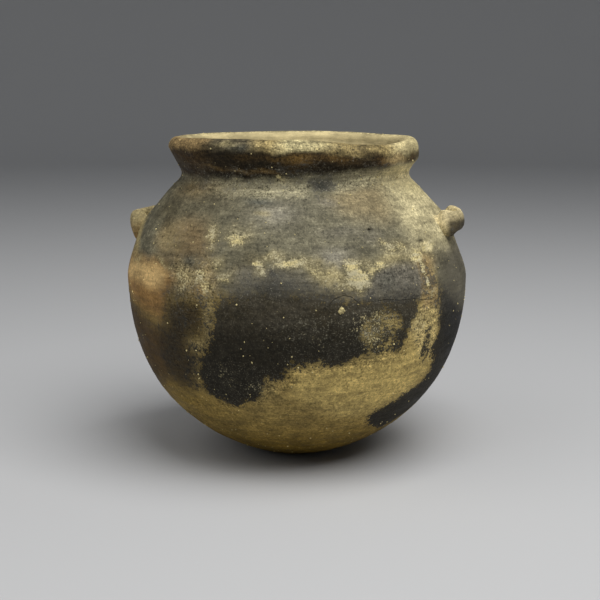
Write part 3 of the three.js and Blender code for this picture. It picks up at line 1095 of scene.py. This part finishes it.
# Noises of the clay: size in millimetres, detail, roughness, seed, and how much flatter than wide
NOISES = {
    "mottle": (9, 6, 0.6, 1, 1),
    "streaks": (11, 6, 0.62, 4, 5),
    "strokes": (6, 3, 0.6, 6, 8),
    "specks": (1.5, 3, 0.7, 2, 1),
    "pores": (0.9, 1, 0.5, 5, 1),
    "grain": (0.6, 2, 0.6, 3, 1),
}
# Shades: noise, the range that it is read over, the factors that this becomes, and how strongly
# it is laid on
MOSTLY = (0.3, 0.7)
WIDELY = (0.25, 0.75)
STRONG = 1.8
CLAY_SHADES = (
    ("mottle", MOSTLY, (0.76, 1.22), "fully"),
    ("streaks", MOSTLY, (0.75, 1.22), "fully"),
    ("specks", MOSTLY, (0.4, 1.6), "by flecks"),
    ("grain", WIDELY, (0.35, 1.65), "by flecks"),
    ("pores", (0.3, 0.42), (0.45, 1.0), "by strong flecks"),
    ("pores", (0.58, 0.7), (1.0, 1.5), "by strong flecks"),
    ("strokes", MOSTLY, (0.65, 1.35), "by flecks"),
)
SOOT_SHADES = (("streaks", MOSTLY, (0.6, 1.5), "fully"), ("mottle", MOSTLY, (0.7, 1.4), "fully"))
ASHY_SHADES = (("specks", MOSTLY, (0.6, 1.4), "fully"),)
CREAM_SHADES = (("grain", WIDELY, (0.6, 1.35), "fully"),)
CHALKY_SHADES = (("mottle", MOSTLY, (0.8, 1.15), "fully"),)
# How far noises swing the edges of soot and pale wear, and the height of the surface in metres
SOOT_SWINGS = {"specks": 3.2, "mottle": 2.6, "grain": 1.8}
PALE_SWINGS = {"specks": 2.4, "grain": 2.6, "mottle": 1.6}
RELIEF = {"grain": 0.06 * MM, "streaks": 0.15 * MM, "specks": 0.08 * MM}
# Soot lets a little of the clay through, carries ash in its grain, and thins upwards
CLAY_THROUGH = 0.05
ASH_RANGE = (0.54, 0.68, 0.0, 0.55)
SOOT_THINS = (55, 80)
SOOT_LIGHTNESS = (0.72, 2.1)
PALE_RANGE = (-0.8, 1.1, 0.0, 0.9)
CHALK_RANGE = (0.42, 0.56, 0.0, 0.7)
ROUGHNESS = (0.58, 0.8)
GLEAM = 0.15


def swings(tree, noises, amounts):
    """Sum of the swings of some noises."""
    total = 0.0
    for name, amount in amounts.items():
        total = maths(tree, "ADD", total, swing(tree, noises[name], amount))
    return total


def fired_clay(name):
    """Matt fired clay with mottling, flecks of grit, ragged soot and worn pale places."""
    material = bpy.data.materials.new(name)
    material.use_nodes = True
    tree = material.node_tree
    shader = tree.nodes["Principled BSDF"]
    here = stretch(tree, place(tree, "ShaderNodeTexCoord", output="Object"), 1 / MM)
    noises = {}
    for kind, (size, detail, roughness, seed, flatness) in NOISES.items():
        flat = vector_maths(tree, "MULTIPLY", here, (1, 1, flatness))
        noises[kind] = noise(tree, flat, size, detail, roughness, seed)
    tint = attribute(tree, "tint", "Color")
    flecks = attribute(tree, "flecks")
    gentle = attribute(tree, "softness")
    strengths = {
        "fully": 1.0,
        "by flecks": flecks,
        "by strong flecks": maths(tree, "MULTIPLY", flecks, STRONG),
    }

    def shades(under, table):
        for kind, span, factors, strength in table:
            under = shaded(tree, under, ramp(tree, noises[kind], *span, *factors), strengths[strength])
        return under

    level = place(tree, "ShaderNodeSeparateXYZ", {"Vector": here}, "Z")
    black = blend(tree, CLAY_THROUGH, shades(SOOT, SOOT_SHADES), tint)
    ash = maths(tree, "MULTIPLY", ramp(tree, noises["grain"], *ASH_RANGE), flecks)
    black = shades(blend(tree, ash, black, ASH), ASHY_SHADES)
    black = shaded(tree, black, ramp(tree, level, *SOOT_THINS, *SOOT_LIGHTNESS))
    chalk = ramp(tree, noises["streaks"], *CHALK_RANGE)
    cream = shades(blend(tree, chalk, shades(CREAM, CREAM_SHADES), CHALK), CHALKY_SHADES)
    soot = maths(tree, "ADD", attribute(tree, "soot"), swings(tree, noises, SOOT_SWINGS))
    soot = ramp(tree, soot, maths(tree, "MULTIPLY", gentle, -1.0), gentle)
    pale = maths(tree, "ADD", attribute(tree, "pale"), swings(tree, noises, PALE_SWINGS))
    scored = maths(tree, "ABSOLUTE", attribute(tree, "scored"))
    groove = ramp(tree, scored, *SCORE_WIDTH, 1.0, 0.0)
    groove_shade = maths(tree, "SUBTRACT", 1.0, maths(tree, "MULTIPLY", groove, SCORE_SHADE))
    clay = blend(tree, soot, shades(tint, CLAY_SHADES), black)
    clay = blend(tree, ramp(tree, pale, *PALE_RANGE), clay, cream)
    feed(tree, shader.inputs["Base Color"], shaded(tree, clay, groove_shade))
    satin = ramp(tree, noises["streaks"], *MOSTLY, *ROUGHNESS)
    feed(tree, shader.inputs["Roughness"], satin)
    shader.inputs["Specular IOR Level"].default_value = GLEAM
    cut = maths(tree, "MULTIPLY", groove, SCORE_DEPTH)
    rise = maths(tree, "SUBTRACT", swings(tree, noises, RELIEF), cut)
    bump = place(tree, "ShaderNodeBump", {"Height": rise, "Distance": 1.0})
    feed(tree, shader.inputs["Normal"], bump)
    return material


FINISHES = {
    slot: fired_clay(slot)
    for slot in ("buff_clay", "sooted_clay", "smoked_clay", "scorched_rim", "tan_clay")
}

# Lug handles: a strap that stands off the wall on two legs. Its bar lies at a distance from the
# jar's axis, and below its middle the strap droops and splays
STRAP_THICKNESS = 3.6
STRAP_HEIGHT = 7.6
STRAP_STEPS = 110
SECTION_CORNERS = 44
LEG_SUNK = 2.5
LEG_OFFSET = 10.5
LEG_REACH = 4.5
BAR_HALF = 7
LEG_DROP = 1.2
LEG_SWELL = 0.5
SWELL_OUT = 3.4
SWELL_REACH = 2.6
# Each lug's clay is a lighter colour for its top and a darker one low down, painted light and shade
LUGS = {
    "right_lug": {
        "turn": 90, "height": 98.4, "bar": 67.6, "splay": -0.12, "droop": -0.1,
        "clay": (LUG_CREAM, LUG_TAN),
    },
    "left_lug": {
        "turn": -90, "height": 95.2, "bar": 70.6, "splay": 0.0, "droop": 0.3,
        "clay": (LUG_TAN, LUG_ORANGE),
    },
}
# A lug turns browner between these heights from its middle, as painted shade, and painted shade lies on
# the lower outer end of the right one, laid as a cover of soot
LUG_SHADE_BELOW = (-7, 2)
LUG_SHADE_UP_TO = (-0.5, 3.5)
LUG_SHADE_FROM_BAR = (-4.4, -1.4)
LUG_SHADE_TINT = 0.9
LUG_SHADE_MOST = -0.9


def strap_tree():
    """Draws a strap of clay along the path of a lug, thicker where the path says."""
    tree, sizes = shape_tree("lug_strap", {
        "Strap Thickness": STRAP_THICKNESS * MM,
        "Strap Height": STRAP_HEIGHT * MM,
        "Strap Steps": STRAP_STEPS,
        "Section Corners": SECTION_CORNERS,
        **LUG_UNEVENNESS,
    })
    path = place(tree, "GeometryNodeMeshToCurve", {"Mesh": sizes["Geometry"]})
    feeds = {"Curve": path, "Count": sizes["Strap Steps"]}
    even = place(tree, "GeometryNodeResampleCurve", feeds)
    feeds = {"X": sizes["Strap Thickness"], "Y": sizes["Strap Height"], "Z": 1.0}
    across = place(tree, "ShaderNodeCombineXYZ", feeds)
    feeds = {"Geometry": circle(tree, sizes["Section Corners"], 0.5), "Scale": across}
    oval = place(tree, "GeometryNodeTransform", feeds)
    strap = swept(tree, even, oval, {"Scale": named(tree, "swell"), "Fill Caps": True})
    return close_tree(tree, uneven(tree, strap, facing(tree), sizes), sizes["Clay"])


def lug_path(wall, bar):
    """Path of a lug's strap seen from above, from one root out along the bar to the other."""
    leg = ((wall - LEG_SUNK, LEG_OFFSET), (wall + LEG_REACH, LEG_OFFSET))
    half = bezier((*leg, (bar, BAR_HALF), (bar, 0)))
    return np.vstack((half, half[-2::-1] * (1, -1)))


def lug(name, plan, tree):
    """One lug, drawn along its path, and let droop and splay."""
    wall = outer_radius(plan["height"])
    path = lug_path(wall, plan["bar"])
    turn = np.radians(plan["turn"])
    x = path[:, 0] * np.sin(turn) + path[:, 1] * np.cos(turn)
    y = path[:, 1] * np.sin(turn) - path[:, 0] * np.cos(turn)
    z = plan["height"] - LEG_DROP * ease(path[:, 0], plan["bar"], wall)
    blank = bpy.data.meshes.new(name)
    edges = [(i, i + 1) for i in range(len(path) - 1)]
    blank.from_pydata(np.column_stack((x, y, z)) * MM, edges, [])
    from_swell = (path[:, 0] - wall - SWELL_OUT) / SWELL_REACH
    put(blank, "swell", 1 + LEG_SWELL * np.exp(-from_swell ** 2))
    piece = formed(name, blank, tree, "tan_clay")
    points = places(piece.data)
    above = points[:, 2] - plan["height"]
    out = np.abs(points[:, 0]) - wall
    points[:, 0] += np.sin(turn) * plan["splay"] * above * ease(out, 0, LEG_REACH)
    points[:, 2] += plan["droop"] * np.minimum(above, 0)
    move_to(piece.data, points)
    paint_lug(piece.data, plan, points)
    piece.data.shade_smooth()
    return piece


def paint_lug(mesh, plan, points):
    """Tan clay on a lug, browner low down as painted shade, with painted shade laid as soot on the outer
    end of the right one.
    """
    lit_top, shaded_underside = plan["clay"]
    above = points[:, 2] - plan["height"]
    from_bar = np.abs(points[:, 0]) - plan["bar"]
    tint = np.tile(lit_top, (len(points), 1))
    wash(tint, shaded_underside, fade(above, *LUG_SHADE_BELOW))
    # Painted shade on the right lug's lower outer end, drawn through its cover of soot
    shaded_end = ease(from_bar, *LUG_SHADE_FROM_BAR) * fade(above, *LUG_SHADE_UP_TO) * (plan["turn"] > 0)
    wash(tint, LUG_SHADE_DARK, LUG_SHADE_TINT * shaded_end)
    paint(mesh, tint, {"soot": BARE + (LUG_SHADE_MOST - BARE) * shaded_end})


# Grit in the clay that stands a little out of the wall
GRIT_SEED = 11
PALE_GRIT = {
    "Grains Per Square Metre": 15000.0,
    "Smallest": 0.14 * MM,
    "Largest": 0.42 * MM,
    "Clear Of Floor": 1.0 * MM,
}
MOSTLY_SMALL = 3.0
GRIT_STEPS = 1


def tilted(tree, seed):
    """A turn picked at random for each grain."""
    feeds = {0: (0, 0, 0), 1: (np.pi, np.pi, np.pi), "Seed": seed}
    return place(tree, "FunctionNodeRandomValue", feeds, data_type="FLOAT_VECTOR")


def over(tree, value, limit):
    feeds = {"A": value, "B": limit}
    return place(tree, "FunctionNodeCompare", feeds, operation="GREATER_THAN")


def strewn(tree, points, grain, seed, size):
    """One grain on each point, turned at random."""
    feeds = {"Points": points, "Instance": grain, "Rotation": tilted(tree, seed), "Scale": size}
    return place(tree, "GeometryNodeInstanceOnPoints", feeds)


def grit_tree():
    """Scatters grains of grit over the outer skin of the wall, but none under the foot."""
    tree, sizes = shape_tree("grit", {**PALE_GRIT, "Seed": GRIT_SEED})
    seed = sizes["Seed"]
    height = place(tree, "ShaderNodeSeparateXYZ", {"Vector": position(tree)}, "Z")
    outer = over(tree, named(tree, "side"), 0.5)
    raised = over(tree, height, sizes["Clear Of Floor"])
    wanted = place(tree, "FunctionNodeBooleanMath", {0: outer, 1: raised}, operation="AND")
    points = place(tree, "GeometryNodeDistributePointsOnFaces", {
        "Mesh": sizes["Geometry"],
        "Selection": wanted,
        "Density": sizes["Grains Per Square Metre"],
        "Seed": seed,
    })
    feeds = {2: 0.0, 3: 1.0, "Seed": seed}
    chance = place(tree, "FunctionNodeRandomValue", feeds, 1, data_type="FLOAT")
    small = maths(tree, "POWER", chance, MOSTLY_SMALL)
    feeds = {"Value": small, "To Min": sizes["Smallest"], "To Max": sizes["Largest"]}
    size = place(tree, "ShaderNodeMapRange", feeds)
    grains = strewn(tree, points, ball(tree, 1.0, GRIT_STEPS), seed, size)
    return close_tree(tree, grains, sizes["Clay"])


# Larger pale grains seen on the wall: angle, height and radius
PICKED_GRAINS = (
    (8, 118, 0.5), (57, 117, 0.5), (73, 116, 0.55), (52, 116, 0.4), (53, 114, 0.5), (59, 114, 0.5),
    (47, 116.5, 0.35), (-3, 73, 0.6), (-20, 42, 0.6), (1, 51, 0.5), (-47, 96, 0.65), (30, 87, 0.5),
    (55, 84.3, 0.7), (46, 74, 0.45), (-1, 59, 0.4), (13, 61, 0.4), (22, 56, 0.4), (-52, 44, 0.6),
    (50, 70, 0.4), (4, 102, 0.4), (36, 79.5, 0.4), (65, 119, 0.45),
)
PICKED_SHARE = 0.7
GRAIN_SHAPE = (1.5, 0.9, 0.6)
STONE_SPOT = (29, 71)
STONE_SIZES = (1.45, 1.1, 1.7)
STONE_SUNK = 0.5
STONE_STEPS = 4


def on_wall(angle, height, sunk=0.0):
    """A place on the outside of the wall or sunk into it, in metres."""
    return standing(angle, outer_radius(height) - sunk, height)


def picked_grains():
    """Puts a grain on each point of a blank, as large as the point says."""
    tree, sizes = shape_tree("picked_grains", {"Largest": 1.0})
    feeds = {"Geometry": ball(tree, sizes["Largest"], GRIT_STEPS), "Scale": GRAIN_SHAPE}
    chipped = place(tree, "GeometryNodeTransform", feeds)
    points = place(tree, "GeometryNodeMeshToPoints", {"Mesh": sizes["Geometry"]})
    grains = strewn(tree, points, chipped, GRIT_SEED, named(tree, "size"))
    blank = bpy.data.meshes.new("picked_grains")
    blank.from_pydata([on_wall(angle, height) for angle, height, _ in PICKED_GRAINS], [], [])
    put(blank, "size", [radius * PICKED_SHARE * MM for *_, radius in PICKED_GRAINS])
    return formed("picked_grains", blank, close_tree(tree, grains, sizes["Clay"]), "buff_clay")


def stone():
    """A pale stone that shows through the soot on the belly."""
    tree, sizes = shape_tree("stone", STONE_UNEVENNESS)
    worn = uneven(tree, ball(tree, 1.0, STONE_STEPS), facing(tree), sizes)
    set_in = place(tree, "GeometryNodeTransform", {
        "Geometry": worn,
        "Translation": on_wall(*STONE_SPOT, STONE_SUNK),
        "Rotation": (0, 0, np.radians(STONE_SPOT[0])),
        "Scale": [size * MM for size in STONE_SIZES],
    })
    blank = bpy.data.meshes.new("stone")
    return formed("stone", blank, close_tree(tree, set_in, sizes["Clay"]), "buff_clay")


GRAIN_FLECKS = 0.5


def bare_grain(piece):
    """Paints grains cream and makes them ride on the jar."""
    tint = np.tile(CREAM, (len(piece.data.vertices), 1))
    paint(piece.data, tint, {"flecks": GRAIN_FLECKS})
    piece.data.shade_smooth()
    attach(piece, "root")


def joined(name, pieces):
    """One mesh of copies of some pieces."""
    copies = []
    for piece in pieces:
        copy = bpy.data.objects.new(name, piece.data.copy())
        scene.collection.objects.link(copy)
        copies.append(copy)
    with bpy.context.temp_override(active_object=copies[0], selected_editable_objects=copies):
        bpy.ops.object.join()
    mesh = copies[0].data
    bpy.data.objects.remove(copies[0])
    return mesh


def finished(piece, node):
    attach(piece, "root")
    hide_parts(node)
    return piece


COIL_FINISHES = ["sooted_clay"] * 4 + ["smoked_clay"] * 2


def wall_pieces():
    """The skins of the base bowl, the coils and the rim, from the foot up."""
    tree = turning_tree()
    plans = [("base_bowl", base_section(COIL_JOINTS[0]), False, "buff_clay")]
    for number, slot in enumerate(COIL_FINISHES, start=1):
        section = coil_section(*COIL_JOINTS[number - 1:number + 1])
        plans.append((f"wall_coil_{number}", section, True, slot))
    plans.append(("neck_coil", coil_section(*COIL_JOINTS[-2:]), True, "smoked_clay"))
    plans.append(("rim_band", rim_section(COIL_JOINTS[-1]), True, "scorched_rim"))
    pieces = []
    for node, section, closed, slot in plans:
        piece = turned(node + "_skin", section, closed, tree, slot)
        hand_worked(piece.data)
        painted(piece.data)
        pieces.append(finished(piece, node))
    return pieces


wall = wall_pieces()
straps = strap_tree()
for node, plan in LUGS.items():
    finished(lug(node + "_strap", plan, straps), node)
grit = formed("grit", joined("grit_blank", wall), grit_tree(), "buff_clay")
for piece in (grit, picked_grains(), stone()):
    bare_grain(piece)

# Floor, camera and light
FLOOR_RADIUS = 1800
SWEEP = 900
SWEEP_STEPS = 12
FLOOR_WALL = 1800
FLOOR_TURN = 7.5
FLOOR_GREY = (0.5, 0.5, 0.5, 1)
FLOOR_ROUGHNESS = 0.9
CAMERA_TURN = 15
CAMERA_AWAY = 500
CAMERA_HEIGHT = 153.5
CAMERA_PITCH = 0.1796
CAMERA_LENS = 72.62
CAMERA_SHIFT = 4 / 600
NEAREST_SEEN = 10
# Lights: angle round the jar, angle above level, distance, size and power in watts
WINDOW = (52, 62, 900, 800, 10)
ROOM = (-50, 40, 1300, 1200, 4)
SKY = (0.5, 0.52, 0.55, 1)
SKY_STRENGTH = 0.35


def pale_floor():
    """A round pale floor that curves up into a wall a long way off."""
    rises = np.radians(np.linspace(0, 90, SWEEP_STEPS))
    curve = [(FLOOR_RADIUS + SWEEP * np.sin(a), SWEEP * (1 - np.cos(a))) for a in rises]
    curve.append((FLOOR_RADIUS + SWEEP, FLOOR_WALL))
    turns = np.arange(0, FULL_TURN, FLOOR_TURN)
    points = [standing(turn, radius, height) for radius, height in curve for turn in turns]
    count = len(turns)
    faces = [tuple(range(count))]
    for here in range(0, len(points) - count, count):
        for i in range(count):
            after = (i + 1) % count
            faces.append((here + i, here + count + i, here + count + after, here + after))
    mesh = bpy.data.meshes.new("floor")
    mesh.from_pydata(points, [], faces)
    mesh.shade_smooth()
    material = bpy.data.materials.new("pale_paper")
    material.use_nodes = True
    shader = material.node_tree.nodes["Principled BSDF"]
    shader.inputs["Base Color"].default_value = FLOOR_GREY
    shader.inputs["Roughness"].default_value = FLOOR_ROUGHNESS
    mesh.materials.append(material)
    piece = bpy.data.objects.new("floor", mesh)
    scene.collection.objects.link(piece)


def stand_camera():
    camera = bpy.data.cameras.new("camera")
    camera.lens = CAMERA_LENS
    camera.shift_x = CAMERA_SHIFT
    camera.clip_start = NEAREST_SEEN * MM
    stand = bpy.data.objects.new("camera", camera)
    stand.location = standing(CAMERA_TURN, CAMERA_AWAY, CAMERA_HEIGHT)
    stand.rotation_euler = (np.pi / 2 - CAMERA_PITCH, 0, np.radians(CAMERA_TURN))
    scene.collection.objects.link(stand)
    scene.camera = stand


def soft_light(name, turn, rise, away, size, power):
    """A square light aimed at the middle of the belly."""
    light = bpy.data.lights.new(name, "AREA")
    light.size = size * MM
    light.energy = power
    level, up = direction(rise) * away
    lamp = bpy.data.objects.new(name, light)
    lamp.location = standing(turn, level, BELLY_HEIGHT + up)
    from_belly = lamp.location - Vector(standing(0, 0, BELLY_HEIGHT))
    lamp.rotation_euler = from_belly.to_track_quat("Z", "Y").to_euler()
    scene.collection.objects.link(lamp)


pale_floor()
stand_camera()
soft_light("window", *WINDOW)
soft_light("room", *ROOM)
world = bpy.data.worlds.new("studio")
world.use_nodes = True
sky = world.node_tree.nodes["Background"]
sky.inputs["Color"].default_value = SKY
sky.inputs["Strength"].default_value = SKY_STRENGTH
scene.world = world
scene.view_settings.view_transform = "Standard"
